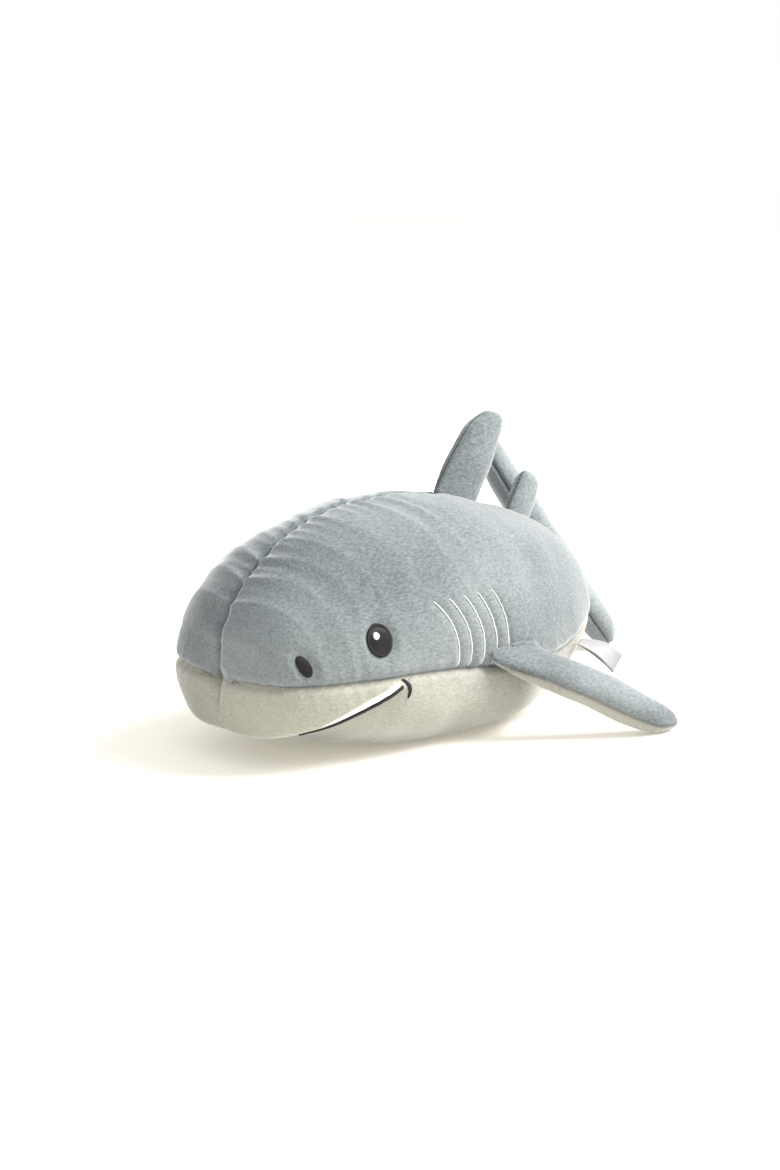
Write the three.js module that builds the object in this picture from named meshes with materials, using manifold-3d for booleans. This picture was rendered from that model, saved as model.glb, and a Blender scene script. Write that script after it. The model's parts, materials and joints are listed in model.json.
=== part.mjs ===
// A plush shark lying flat on its belly, nose toward -Y, its own left side toward +X.
// All sizes are millimetres. The floor is z = 0 and the origin is the middle of the flat belly patch.
import * as THREE from 'three';
import Module from 'manifold-3d';
import { mergeVertices } from 'three/addons/utils/BufferGeometryUtils.js';

const wasm = await Module();
wasm.setup();

// ---------------------------------------------------------------- driving sizes
const BODY_LENGTH = 306;          // nose to the end of the tail stem
const BODY_WIDTH = 146;           // widest point, level with the side fins
const BODY_HEIGHT = 130;          // floor to the top of the back
const FABRIC = 2.2;               // short pile fabric with its backing
const SEAM_GAP = 0.4;             // clear space between two neighbouring pieces
const HINGE_GAP = 1.2;            // clear space round a part that bends at its root
const STITCH_HEIGHT = 1.1;        // how far embroidery stands above the fabric
const CURL_RADIUS = 375;          // the rear half lies in a gentle curve to the shark's right

const BODY_SEGMENTS = 28;
const BODY_RINGS = 22;
const FIN_SEGMENTS = 12;
const FIN_RINGS = 10;

const NOSE_Y = -0.49 * BODY_LENGTH;
const CURL_START_Y = 0;
const MID_HEIGHT = 0.4 * BODY_HEIGHT;
const FAR = 2 * BODY_LENGTH;

// ---------------------------------------------------------------- colours
const GREY = 0x8f9a9f;
const CREAM = 0xd6d5cb;
const FILL = 0xf2f0ea;
const BLACK = 0x2a2a29;
const WHITE = 0xf1f1ee;
const SATIN = 0xe6e3e8;

function fabric(colour) {
  return new THREE.MeshStandardMaterial({ color: colour, roughness: 0.95, metalness: 0 });
}

function thread(colour) {
  return new THREE.MeshStandardMaterial({ color: colour, roughness: 0.55, metalness: 0 });
}

// ---------------------------------------------------------------- small helpers
const toRadians = THREE.MathUtils.degToRad;
const lerp = THREE.MathUtils.lerp;

function toManifold(geometry) {
  const bare = geometry.clone();
  bare.deleteAttribute('normal');
  bare.deleteAttribute('uv');
  const welded = mergeVertices(bare, 1e-4);
  return new wasm.Manifold(new wasm.Mesh({
    numProp: 3,
    vertProperties: new Float32Array(welded.attributes.position.array),
    triVerts: new Uint32Array(welded.index.array),
  }));
}

function toGeometry(manifold) {
  const mesh = manifold.getMesh();
  const geometry = new THREE.BufferGeometry();
  geometry.setAttribute('position', new THREE.BufferAttribute(new Float32Array(mesh.vertProperties), 3));
  geometry.setIndex(new THREE.BufferAttribute(new Uint32Array(mesh.triVerts), 1));
  return geometry;
}

// A smooth curve through hand-chosen stations: knots rise, slopes come from the neighbours.
function smoothCurve(knots, values) {
  const slope = (i) => {
    const before = Math.max(i - 1, 0);
    const after = Math.min(i + 1, knots.length - 1);
    return (values[after] - values[before]) / (knots[after] - knots[before]);
  };
  return (x) => {
    let i = 0;
    while (i < knots.length - 2 && x > knots[i + 1]) {
      i += 1;
    }
    const step = knots[i + 1] - knots[i];
    const t = THREE.MathUtils.clamp((x - knots[i]) / step, 0, 1);
    const rise = values[i] * (1 + 2 * t) * (1 - t) ** 2 + values[i + 1] * t * t * (3 - 2 * t);
    const bow = slope(i) * t * (1 - t) ** 2 - slope(i + 1) * t * t * (1 - t);
    return rise + bow * step;
  };
}

// A closed skin laid over a ball: place(turn, around) gives the point for each spot on it.
// turn runs 0 to PI from the first end to the last, around runs once about the length.
function mould(segments, rings, place) {
  const ball = new THREE.SphereGeometry(1, segments, rings);
  ball.deleteAttribute('normal');
  ball.deleteAttribute('uv');
  const skin = mergeVertices(ball, 1e-4);
  const spots = skin.attributes.position;
  const spot = new THREE.Vector3();
  for (let i = 0; i < spots.count; i += 1) {
    spot.fromBufferAttribute(spots, i);
    const turn = Math.acos(THREE.MathUtils.clamp(spot.y, -1, 1));
    const point = place(turn, Math.atan2(spot.z, -spot.x));
    spots.setXYZ(i, point.x, point.y, point.z);
  }
  return skin;
}

function scaledAbout(geometry, centre, scale) {
  const copy = geometry.clone();
  copy.translate(-centre.x, -centre.y, -centre.z);
  copy.scale(scale.x, scale.y, scale.z);
  copy.translate(centre.x, centre.y, centre.z);
  return copy;
}

// The same solid grown (or, with a negative amount, shrunk) by about that amount on every side.
function grown(geometry, amount) {
  geometry.computeBoundingBox();
  const centre = geometry.boundingBox.getCenter(new THREE.Vector3());
  const size = geometry.boundingBox.getSize(new THREE.Vector3());
  const scale = new THREE.Vector3(1 + 2 * amount / size.x, 1 + 2 * amount / size.y, 1 + 2 * amount / size.z);
  return scaledAbout(geometry, centre, scale);
}

function block(low, high) {
  const size = new THREE.Vector3().subVectors(high, low);
  const geometry = new THREE.BoxGeometry(size.x, size.y, size.z);
  geometry.translate(low.x + size.x / 2, low.y + size.y / 2, low.z + size.z / 2);
  return toManifold(geometry);
}

// A slab from fromX to far off the left side: an outline in the (Y, Z) plane, drawn out along X.
function sidewaysSlab(outline, fromX) {
  const shape = new THREE.Shape(outline.map(([y, z]) => new THREE.Vector2(y, z)));
  const geometry = new THREE.ExtrudeGeometry(shape, { depth: FAR - fromX, bevelEnabled: false });
  const turned = new THREE.Matrix4().makeBasis(
    new THREE.Vector3(0, 1, 0), new THREE.Vector3(0, 0, 1), new THREE.Vector3(1, 0, 0));
  geometry.applyMatrix4(turned);
  geometry.translate(fromX, 0, 0);
  return toManifold(geometry);
}

function mirrored(geometry) {
  const copy = geometry.clone();
  copy.scale(-1, 1, 1);
  const index = copy.index;
  for (let i = 0; i < index.count; i += 3) {
    const second = index.getX(i + 1);
    index.setX(i + 1, index.getX(i + 2));
    index.setX(i + 2, second);
  }
  return copy;
}

// ---------------------------------------------------------------- the curl of the rear half
function curlAngle(y) {
  return Math.max(y - CURL_START_Y, 0) / CURL_RADIUS;
}

function curlPoint(point) {
  const angle = curlAngle(point.y);
  const past = Math.min(point.y, CURL_START_Y);
  return new THREE.Vector3(
    CURL_RADIUS * (Math.cos(angle) - 1) + point.x * Math.cos(angle),
    past + CURL_RADIUS * Math.sin(angle) + point.x * Math.sin(angle),
    point.z);
}

function curled(geometry) {
  const spots = geometry.attributes.position;
  const spot = new THREE.Vector3();
  for (let i = 0; i < spots.count; i += 1) {
    const point = curlPoint(spot.fromBufferAttribute(spots, i));
    spots.setXYZ(i, point.x, point.y, point.z);
  }
  return geometry;
}

// Fins keep their own shape: they are set down whole where their root lands on the curl.
function setDown(geometry, root) {
  geometry.rotateZ(curlAngle(root.y));
  const landed = curlPoint(root);
  geometry.translate(landed.x, landed.y, landed.z);
  return geometry;
}

// ---------------------------------------------------------------- the body's outline
// Each row: place along the body, then half width, top, underside and seam height,
// as shares of the length, half the width and the height.
const STATIONS = [
  [0.000, 0.00, 0.36, 0.36, 0.36],
  [0.007, 0.38, 0.56, 0.20, 0.37],
  [0.033, 0.62, 0.68, 0.12, 0.375],
  [0.098, 0.81, 0.82, 0.095, 0.375],
  [0.196, 0.92, 0.94, 0.035, 0.37],
  [0.327, 0.98, 1.00, -0.02, 0.355],
  [0.490, 1.00, 0.98, -0.02, 0.315],
  [0.637, 0.94, 0.90, 0.03, 0.29],
  [0.752, 0.82, 0.81, 0.17, 0.33],
  [0.817, 0.68, 0.75, 0.24, 0.39],
  [0.863, 0.50, 0.70, 0.29, 0.42],
  [0.902, 0.35, 0.65, 0.33, 0.44],
  [0.954, 0.23, 0.60, 0.36, 0.45],
  [1.000, 0.00, 0.46, 0.46, 0.46],
];
const TURNS = STATIONS.map((row) => Math.acos(1 - 2 * row[0]));

function stationCurve(column, size) {
  return smoothCurve(TURNS, STATIONS.map((row) => row[column] * size));
}

const halfWidthAt = stationCurve(1, BODY_WIDTH / 2);
const topAt = stationCurve(2, BODY_HEIGHT);
const undersideAt = stationCurve(3, BODY_HEIGHT);
const seamAt = stationCurve(4, BODY_HEIGHT);

const UPPER_ROUNDNESS = 2.1;
const CHIN_ROUNDNESS = 2.4;
const BELLY_ROUNDNESS = 3.2;      // higher is squarer, so the belly lies flat and wide
const REAR_ROUNDNESS = 2.2;

function along(turn) {
  return BODY_LENGTH * (1 - Math.cos(turn)) / 2;
}

function turnAt(y) {
  return Math.acos(THREE.MathUtils.clamp(1 - 2 * (y - NOSE_Y) / BODY_LENGTH, -1, 1));
}

function seamHeight(y) {
  return seamAt(turnAt(y));
}

function lowerRoundness(turn) {
  const front = lerp(CHIN_ROUNDNESS, BELLY_ROUNDNESS, THREE.MathUtils.smoothstep(turn, 0.7, 1.6));
  return lerp(front, REAR_ROUNDNESS, THREE.MathUtils.smoothstep(turn, 1.6, 2.1));
}

function bodyPoint(turn, around) {
  const roundness = Math.sin(around) >= 0 ? UPPER_ROUNDNESS : lowerRoundness(turn);
  const reach = (value) => Math.sign(value) * Math.abs(value) ** (2 / roundness);
  const end = Math.sin(around) >= 0 ? topAt(turn) : undersideAt(turn);
  return new THREE.Vector3(
    halfWidthAt(turn) * reach(Math.cos(around)),
    NOSE_Y + along(turn),
    seamAt(turn) + Math.abs(end - seamAt(turn)) * reach(Math.sin(around)));
}

const BODY_FORM = mould(BODY_SEGMENTS, BODY_RINGS, bodyPoint);

// The body grown or shrunk by an amount, cut flat underneath where it lies on the floor.
function bodySolid(amount) {
  const whole = toManifold(grown(BODY_FORM, amount));
  const above = block(new THREE.Vector3(-FAR, -FAR, -amount), new THREE.Vector3(FAR, FAR, FAR));
  return whole.intersect(above);
}

// ---------------------------------------------------------------- where the tail stem turns
const TAIL_HINGE_Y = NOSE_Y + 0.94 * BODY_LENGTH;
const TAIL_ROOT_RADIUS = halfWidthAt(turnAt(TAIL_HINGE_Y));
const STEM_END_Y = NOSE_Y + 0.975 * BODY_LENGTH;
const LIP = 3;                    // the body stops this far ahead of the hinge

function postAtTailHinge(radius) {
  const geometry = new THREE.CylinderGeometry(radius, radius, 2 * BODY_HEIGHT, 40);
  geometry.rotateX(Math.PI / 2);
  geometry.translate(0, TAIL_HINGE_Y, MID_HEIGHT);
  return toManifold(geometry);
}

function everythingBehind(y) {
  return block(new THREE.Vector3(-FAR, y, -FAR), new THREE.Vector3(FAR, FAR, FAR));
}

// Cuts the rounded socket that the stem turns in, set deeper by an extra amount.
function hollowForTail(solid, deeper = 0) {
  return solid.subtract(postAtTailHinge(TAIL_ROOT_RADIUS + HINGE_GAP + deeper))
    .subtract(everythingBehind(TAIL_HINGE_Y - LIP - deeper));
}

// ---------------------------------------------------------------- body panels
const MOUTH_FRONT = [NOSE_Y + 0.075 * BODY_LENGTH, 0.166 * BODY_HEIGHT];
const MOUTH_CORNER = [NOSE_Y + 0.229 * BODY_LENGTH, 0.33 * BODY_HEIGHT];
const MOUTH_SLOPE = (MOUTH_CORNER[1] - MOUTH_FRONT[1]) / (MOUTH_CORNER[0] - MOUTH_FRONT[0]);

function mouthHeight(y) {
  return MOUTH_FRONT[1] + MOUTH_SLOPE * (y - MOUTH_FRONT[0]);
}

function range(from, to, count) {
  return Array.from({ length: count + 1 }, (_, i) => lerp(from, to, i / count));
}

const SEAM_YS = range(NOSE_Y - 20, NOSE_Y + BODY_LENGTH + 20, 40);
const MOUTH_END_Y = SEAM_YS.find((y) => mouthHeight(y) > seamHeight(y));

function backOutline() {
  const seam = SEAM_YS.map((y) => [y, seamHeight(y) + SEAM_GAP / 2]);
  return [...seam, [SEAM_YS.at(-1), FAR], [SEAM_YS[0], FAR]];
}

// Where the mouth line meets the side seam the lower edge takes whichever is lower.
function lowerEdge(y) {
  return Math.min(mouthHeight(y), seamHeight(y));
}

function bellyOutline() {
  const edge = SEAM_YS.map((y) => [y, lowerEdge(y) - SEAM_GAP / 2]);
  return [[SEAM_YS[0], -FAR], [SEAM_YS.at(-1), -FAR], ...edge.reverse()];
}

function snoutOutline() {
  const front = SEAM_YS.filter((y) => y < MOUTH_END_Y);
  const lower = front.map((y) => [y, lowerEdge(y) + SEAM_GAP / 2]);
  const upper = front.map((y) => [y, seamHeight(y) - SEAM_GAP / 2]);
  return [...lower, ...upper.reverse()];
}

const bodySkin = hollowForTail(bodySolid(0)).subtract(hollowForTail(bodySolid(-FABRIC), FABRIC));

const backPanelLeft = toGeometry(bodySkin.intersect(sidewaysSlab(backOutline(), SEAM_GAP / 2)));
const snoutPanelLeft = toGeometry(bodySkin.intersect(sidewaysSlab(snoutOutline(), SEAM_GAP / 2)));
const bellyPanel = toGeometry(bodySkin.intersect(sidewaysSlab(bellyOutline(), -FAR)));
const bodyFill = toGeometry(hollowForTail(bodySolid(-FABRIC - SEAM_GAP), FABRIC + SEAM_GAP));

// The part of a solid on its left side, stopping half a seam's gap short of the middle.
function leftHalf(solid) {
  return solid.intersect(block(new THREE.Vector3(SEAM_GAP / 2, -FAR, -FAR), new THREE.Vector3(FAR, FAR, FAR)));
}

// ---------------------------------------------------------------- tail stem
function stemSolid(amount) {
  const turning = postAtTailHinge(TAIL_ROOT_RADIUS + amount).add(everythingBehind(TAIL_HINGE_Y));
  const beyond = everythingBehind(STEM_END_Y + amount);
  return toManifold(grown(BODY_FORM, amount)).intersect(turning).subtract(beyond);
}

const tailSkin = stemSolid(0).subtract(stemSolid(-FABRIC));
const tailPanelLeft = toGeometry(leftHalf(tailSkin));
const tailFill = toGeometry(stemSolid(-FABRIC - SEAM_GAP));

// ---------------------------------------------------------------- fins
// A fin stands along local Z. Its chord runs along Y, front edge toward -Y, and its thickness along X.
// The root and tip are rounded like a cushion, and the origin is the middle of the root's rounding,
// which is the line that the fin bends about.
function endRounding(distance, span, rootRound, tipRound) {
  const fromRoot = Math.min(distance / rootRound, 1);
  const fromTip = Math.min((span - distance) / tipRound, 1);
  return Math.sqrt(1 - (1 - fromRoot) ** 2) * Math.sqrt(1 - (1 - fromTip) ** 2);
}

function rootRadius(fin) {
  return fin.rootThickness / 2;
}

function finForm(fin) {
  const place = (turn, around) => {
    const distance = fin.span * (1 - Math.cos(turn)) / 2;
    const share = distance / fin.span;
    const rounding = endRounding(distance, fin.span, rootRadius(fin), fin.tipRound);
    const halfChord = lerp(fin.rootChord, fin.tipChord, share ** 1.5) / 2 * rounding ** 0.35;
    const halfThickness = lerp(fin.rootThickness, fin.tipThickness, share) / 2 * rounding;
    const middle = fin.sweep * share ** fin.sweepPower;
    return new THREE.Vector3(
      -halfThickness * Math.cos(around), middle + halfChord * Math.sin(around), distance - rootRadius(fin));
  };
  return mould(FIN_SEGMENTS, FIN_RINGS, place);
}

function finPieces(fin) {
  const form = finForm(fin);
  const skin = toManifold(form).subtract(toManifold(grown(form, -FABRIC)));
  return {
    left: toGeometry(leftHalf(skin)),
    right: mirrored(toGeometry(leftHalf(skin))),
    fill: toGeometry(toManifold(grown(form, -FABRIC - SEAM_GAP))),
  };
}

function backSlope(y) {
  return topAt(turnAt(y + 1)) - topAt(turnAt(y));
}

// A fin on the back stands square to the back's slope, its root just clear of the fabric.
function onTheBack(geometry, fin, y) {
  const root = new THREE.Vector3(0, y, topAt(turnAt(y)) + HINGE_GAP + rootRadius(fin));
  geometry.rotateX(Math.atan(backSlope(y)));
  return setDown(geometry, root);
}

const DORSAL = {
  span: 0.41 * BODY_HEIGHT,
  rootChord: 0.135 * BODY_LENGTH,
  tipChord: 0.08 * BODY_LENGTH,
  rootThickness: 18,
  tipThickness: 12,
  tipRound: 14,
  sweep: 0.072 * BODY_LENGTH,
  sweepPower: 1.3,
};
const DORSAL_Y = NOSE_Y + 0.608 * BODY_LENGTH;

const REAR_DORSAL = {
  span: 0.235 * BODY_HEIGHT,
  rootChord: 0.1 * BODY_LENGTH,
  tipChord: 0.07 * BODY_LENGTH,
  rootThickness: 13,
  tipThickness: 9,
  tipRound: 7,
  sweep: 0.02 * BODY_LENGTH,
  sweepPower: 1.2,
};
const REAR_DORSAL_Y = NOSE_Y + 0.828 * BODY_LENGTH;

const PECTORAL = {
  span: 0.48 * BODY_WIDTH,
  rootChord: 0.13 * BODY_LENGTH,
  tipChord: 0.08 * BODY_LENGTH,
  rootThickness: 18,
  tipThickness: 17,
  tipRound: 13,
  sweep: 0.22 * BODY_LENGTH,
  sweepPower: 1.1,
};
const PECTORAL_Y = NOSE_Y + 0.5 * BODY_LENGTH;
const PECTORAL_X = halfWidthAt(turnAt(PECTORAL_Y)) + HINGE_GAP + rootRadius(PECTORAL);
const PECTORAL_Z = seamHeight(PECTORAL_Y);
const PECTORAL_TIP_Z = 2.4;       // the rounded tip just meets the floor
const PECTORAL_DROOP = Math.asin((PECTORAL_Z - PECTORAL_TIP_Z) / (PECTORAL.span - rootRadius(PECTORAL)));

// The side fins lie over: the upright fin is laid outward, then droops until its tip meets the floor.
function atTheSide(geometry) {
  geometry.rotateY(Math.PI / 2 + PECTORAL_DROOP);
  return geometry.translate(PECTORAL_X, PECTORAL_Y, PECTORAL_Z);
}

// ---------------------------------------------------------------- tail fluke
const FLUKE_UPPER = 0.72 * BODY_HEIGHT;
const FLUKE_LOWER = 0.52 * BODY_HEIGHT;
const FLUKE_CHORD = 0.14 * BODY_LENGTH;
const FLUKE_TIP_CHORD = 0.65 * FLUKE_CHORD;
const FLUKE_THICKNESS = 24;
const FLUKE_TIP_THICKNESS = 0.75 * FLUKE_THICKNESS;
const FLUKE_SWEEP = 0.085 * BODY_LENGTH;
const FLUKE_TIP_ROUND = 16;
const FLUKE_RINGS = 16;
const FLUKE_ROLL = toRadians(-35);
const FLUKE_YAW = toRadians(16);
const FLUKE_FLOOR_GAP = 0.5;      // the lower lobe all but touches the floor
const FLUKE_Y = STEM_END_Y + HINGE_GAP + FLUKE_THICKNESS / 2;

// The fluke hangs about local Z: its lower lobe reaches below zero and its upper lobe above.
function flukeForm() {
  const span = FLUKE_UPPER + FLUKE_LOWER;
  return mould(FIN_SEGMENTS, FLUKE_RINGS, (turn, around) => {
    const distance = span * (1 - Math.cos(turn)) / 2;
    const height = distance - FLUKE_LOWER;
    const reach = height > 0 ? height / FLUKE_UPPER : -height / FLUKE_LOWER;
    const rounding = endRounding(distance, span, FLUKE_TIP_ROUND, FLUKE_TIP_ROUND);
    const halfChord = lerp(FLUKE_CHORD, FLUKE_TIP_CHORD, reach ** 1.5) / 2 * Math.sqrt(rounding);
    const halfThickness = lerp(FLUKE_THICKNESS, FLUKE_TIP_THICKNESS, reach) / 2 * rounding;
    const middle = (FLUKE_CHORD - FLUKE_THICKNESS) / 2 + FLUKE_SWEEP * reach ** 1.4;
    return new THREE.Vector3(
      -halfThickness * Math.cos(around), middle + halfChord * Math.sin(around), height);
  });
}

function tilted(geometry) {
  return geometry.rotateZ(FLUKE_YAW).rotateY(FLUKE_ROLL);
}

function flukePieces() {
  const form = flukeForm();
  const skin = toManifold(form).subtract(toManifold(grown(form, -FABRIC)));
  const outside = tilted(form.clone());
  outside.computeBoundingBox();
  const root = new THREE.Vector3(0, FLUKE_Y, FLUKE_FLOOR_GAP - outside.boundingBox.min.z);
  const hung = (geometry) => setDown(tilted(geometry), root);
  return {
    left: hung(toGeometry(leftHalf(skin))),
    right: hung(mirrored(toGeometry(leftHalf(skin)))),
    fill: hung(toGeometry(toManifold(grown(form, -FABRIC - SEAM_GAP)))),
  };
}

// ---------------------------------------------------------------- embroidery on the left side
// Each piece is the part of a thin coat over the body that lies behind an outline seen from the side.
const STITCHES_FROM_X = 0.2 * BODY_WIDTH;
const coat = toManifold(grown(BODY_FORM, SEAM_GAP + STITCH_HEIGHT)).subtract(toManifold(grown(BODY_FORM, SEAM_GAP)));
const topCoat = toManifold(grown(BODY_FORM, 2 * SEAM_GAP + 1.6 * STITCH_HEIGHT))
  .subtract(toManifold(grown(BODY_FORM, 2 * SEAM_GAP + STITCH_HEIGHT)));

function stitched(outline, layer = coat) {
  return toGeometry(layer.intersect(sidewaysSlab(outline, STITCHES_FROM_X)));
}

function onBody(share, heightShare) {
  return [NOSE_Y + share * BODY_LENGTH, heightShare * BODY_HEIGHT];
}

function ovalOutline(centre, halfLength, halfHeight, tilt = 0) {
  return range(0, 2 * Math.PI, 18).slice(0, -1).map((angle) => {
    const across = halfLength * Math.cos(angle);
    const up = halfHeight * Math.sin(angle);
    return [
      centre[0] + across * Math.cos(tilt) - up * Math.sin(tilt),
      centre[1] + across * Math.sin(tilt) + up * Math.cos(tilt),
    ];
  });
}

// A band of even width that follows a bowed line from one point to another.
function bandOutline(from, to, bow, width, count) {
  const run = new THREE.Vector2(to[0] - from[0], to[1] - from[1]);
  const side = new THREE.Vector2(-run.y, run.x).normalize();
  const edge = (offset) => range(0, 1, count).map((t) => {
    const out = bow * 4 * t * (1 - t) + offset;
    return [from[0] + run.x * t + side.x * out, from[1] + run.y * t + side.y * out];
  });
  return [...edge(-width / 2), ...edge(width / 2).reverse()];
}

const EYE_CENTRE = onBody(0.193, 0.53);
const EYE_HALF_LENGTH = 7.3;
const EYE_HALF_HEIGHT = 8;
const GLINT_HALF_SIZE = 1.7;
const GLINT_OFFSET = 0.3;         // how far toward the eye's front top edge, as a share
const NOSTRIL_CENTRE = onBody(0.059, 0.46);
const NOSTRIL_HALF_LENGTH = 3;
const NOSTRIL_HALF_HEIGHT = 6.2;
const NOSTRIL_TILT = toRadians(18);
const GILL_COUNT = 5;
const GILL_WIDTH = 1.3;
const GILL_BOW = 5;
const GILL_FOOT_GAP = 0.6;        // the gill lines stop just above the side seam
const MOUTH_WIDTH = 1.8;
const SMILE_BOW = 1.8;            // the short crescent that crosses the mouth's end
const SMILE_TOP = [2.2, 2.6];
const SMILE_FOOT = [4.6, -6.5];

function eyeOutline() {
  return ovalOutline(EYE_CENTRE, EYE_HALF_LENGTH, EYE_HALF_HEIGHT);
}

function glintOutline() {
  const [y, z] = EYE_CENTRE;
  const centre = [y - GLINT_OFFSET * EYE_HALF_LENGTH, z + GLINT_OFFSET * EYE_HALF_HEIGHT];
  return ovalOutline(centre, GLINT_HALF_SIZE, 1.3 * GLINT_HALF_SIZE);
}

function nostrilOutline() {
  return ovalOutline(NOSTRIL_CENTRE, NOSTRIL_HALF_LENGTH, NOSTRIL_HALF_HEIGHT, NOSTRIL_TILT);
}

function gillOutline(row) {
  const top = onBody(0.324 + 0.036 * row, 0.64);
  const [footY] = onBody(0.363 + 0.0285 * row, 0);
  const foot = [footY, seamHeight(footY) + GILL_FOOT_GAP];
  return bandOutline(top, foot, GILL_BOW, GILL_WIDTH, 6);
}

function mouthOutline() {
  const start = [MOUTH_FRONT[0], mouthHeight(MOUTH_FRONT[0])];
  return bandOutline(start, MOUTH_CORNER, 0, MOUTH_WIDTH, 4);
}

function mouthCornerOutline() {
  const fromCorner = ([aft, up]) => [MOUTH_CORNER[0] + aft, MOUTH_CORNER[1] + up];
  return bandOutline(fromCorner(SMILE_TOP), fromCorner(SMILE_FOOT), SMILE_BOW, MOUTH_WIDTH, 6);
}

// ---------------------------------------------------------------- sewn-in label
const LABEL_LENGTH = 25;
const LABEL_WIDTH = 13;
const LABEL_THICKNESS = 0.8;
const LABEL_ARCH = 0.14 * LABEL_LENGTH;
const LABEL_DIP = 0.04 * LABEL_LENGTH;
const LABEL_Y = NOSE_Y + 0.69 * BODY_LENGTH;
const LABEL_DROOP = toRadians(25);
const LABEL_SWEEP = toRadians(20);

// A folded satin strip that comes out of the left side seam, its free end bent a little downward.
function labelStrip() {
  const spine = new THREE.Path([new THREE.Vector2(0, 0)]);
  spine.quadraticCurveTo(0.6 * LABEL_LENGTH, LABEL_ARCH, LABEL_LENGTH, -LABEL_DIP);
  const upper = spine.getPoints(8);
  const lower = upper.map((p) => new THREE.Vector2(p.x, p.y - LABEL_THICKNESS));
  const shape = new THREE.Shape([...upper, ...lower.reverse()]);
  const geometry = new THREE.ExtrudeGeometry(shape, { depth: LABEL_WIDTH, bevelEnabled: false });
  geometry.translate(0, LABEL_THICKNESS / 2, -LABEL_WIDTH / 2);
  geometry.rotateX(Math.PI / 2);
  geometry.rotateY(LABEL_DROOP);
  geometry.rotateZ(LABEL_SWEEP);
  const flank = halfWidthAt(turnAt(LABEL_Y)) + HINGE_GAP + LABEL_WIDTH / 2 * Math.sin(LABEL_SWEEP);
  return setDown(geometry, new THREE.Vector3(flank, LABEL_Y, seamHeight(LABEL_Y)));
}

// ---------------------------------------------------------------- putting the shark together
const shark = new THREE.Group();
shark.name = 'plush_shark';

function add(name, geometry, material) {
  const plain = geometry.index ? geometry.toNonIndexed() : geometry.clone();
  plain.deleteAttribute('normal');
  plain.computeVertexNormals();
  const mesh = new THREE.Mesh(plain, material);
  mesh.name = name;
  shark.add(mesh);
}

function addPair(name, leftGeometry, colourMaterial) {
  add(`${name}_left`, curled(leftGeometry.clone()), colourMaterial());
  add(`${name}_right`, curled(mirrored(leftGeometry)), colourMaterial());
}

function addBody() {
  addPair('back_panel', backPanelLeft, () => fabric(GREY));
  addPair('snout_panel', snoutPanelLeft, () => fabric(CREAM));
  add('belly_panel', curled(bellyPanel), fabric(CREAM));
  add('body_fill', curled(bodyFill), fabric(FILL));
  addPair('tail_panel', tailPanelLeft, () => fabric(GREY));
  add('tail_fill', curled(tailFill), fabric(FILL));
}

function addBackFin(name, fin, y) {
  const pieces = finPieces(fin);
  add(`${name}_panel_left`, onTheBack(pieces.left, fin, y), fabric(GREY));
  add(`${name}_panel_right`, onTheBack(pieces.right, fin, y), fabric(GREY));
  add(`${name}_fill`, onTheBack(pieces.fill, fin, y), fabric(FILL));
}

// Laid over to the left, the fin's right-hand panel becomes its underside.
function addSideFins() {
  const pieces = finPieces(PECTORAL);
  const parts = [['top', pieces.right, GREY], ['underside', pieces.left, CREAM], ['fill', pieces.fill, FILL]];
  for (const [part, geometry, colour] of parts) {
    const left = atTheSide(geometry);
    add(`left_pectoral_${part}`, left, fabric(colour));
    add(`right_pectoral_${part}`, mirrored(left), fabric(colour));
  }
}

function addFluke() {
  const pieces = flukePieces();
  add('fluke_panel_left', pieces.left, fabric(GREY));
  add('fluke_panel_right', pieces.right, fabric(GREY));
  add('fluke_fill', pieces.fill, fabric(FILL));
}

function addFace() {
  addPair('eye', stitched(eyeOutline()), () => thread(BLACK));
  addPair('eye_glint', stitched(glintOutline(), topCoat), () => thread(WHITE));
  addPair('nostril', stitched(nostrilOutline()), () => thread(BLACK));
  addPair('mouth_line', stitched(mouthOutline()), () => thread(BLACK));
  addPair('mouth_corner', stitched(mouthCornerOutline()), () => thread(BLACK));
  for (let row = 0; row < GILL_COUNT; row += 1) {
    addPair(`gill_stitch_${row + 1}`, stitched(gillOutline(row)), () => thread(WHITE));
  }
}

addBody();
addBackFin('dorsal', DORSAL, DORSAL_Y);
addBackFin('rear_dorsal', REAR_DORSAL, REAR_DORSAL_Y);
addSideFins();
addFluke();
addFace();
add('label', labelStrip(), fabric(SATIN));

export default shark;
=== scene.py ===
"""The looks of a stuffed plush shark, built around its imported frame. Everything is in metres."""

import json
import math

import bpy
import numpy as np
from mathutils import Matrix, Vector, noise
from mathutils.bvhtree import BVHTree


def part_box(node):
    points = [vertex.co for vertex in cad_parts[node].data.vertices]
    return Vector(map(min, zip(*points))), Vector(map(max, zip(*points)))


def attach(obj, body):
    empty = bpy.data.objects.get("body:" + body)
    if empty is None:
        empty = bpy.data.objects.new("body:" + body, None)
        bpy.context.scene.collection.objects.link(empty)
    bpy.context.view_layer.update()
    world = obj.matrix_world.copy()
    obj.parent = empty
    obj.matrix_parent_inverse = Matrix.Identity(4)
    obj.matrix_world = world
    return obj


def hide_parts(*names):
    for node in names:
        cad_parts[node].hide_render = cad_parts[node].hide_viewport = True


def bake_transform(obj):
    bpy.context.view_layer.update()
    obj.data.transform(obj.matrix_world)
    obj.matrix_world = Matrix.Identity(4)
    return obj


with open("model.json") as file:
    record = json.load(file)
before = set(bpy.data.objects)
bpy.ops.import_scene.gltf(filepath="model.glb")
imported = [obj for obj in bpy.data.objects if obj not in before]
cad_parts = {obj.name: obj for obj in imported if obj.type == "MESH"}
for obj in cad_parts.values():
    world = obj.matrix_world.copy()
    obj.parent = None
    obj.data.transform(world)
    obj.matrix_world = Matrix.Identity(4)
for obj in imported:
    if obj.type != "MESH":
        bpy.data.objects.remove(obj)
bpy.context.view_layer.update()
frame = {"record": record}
MM = 0.001

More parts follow.
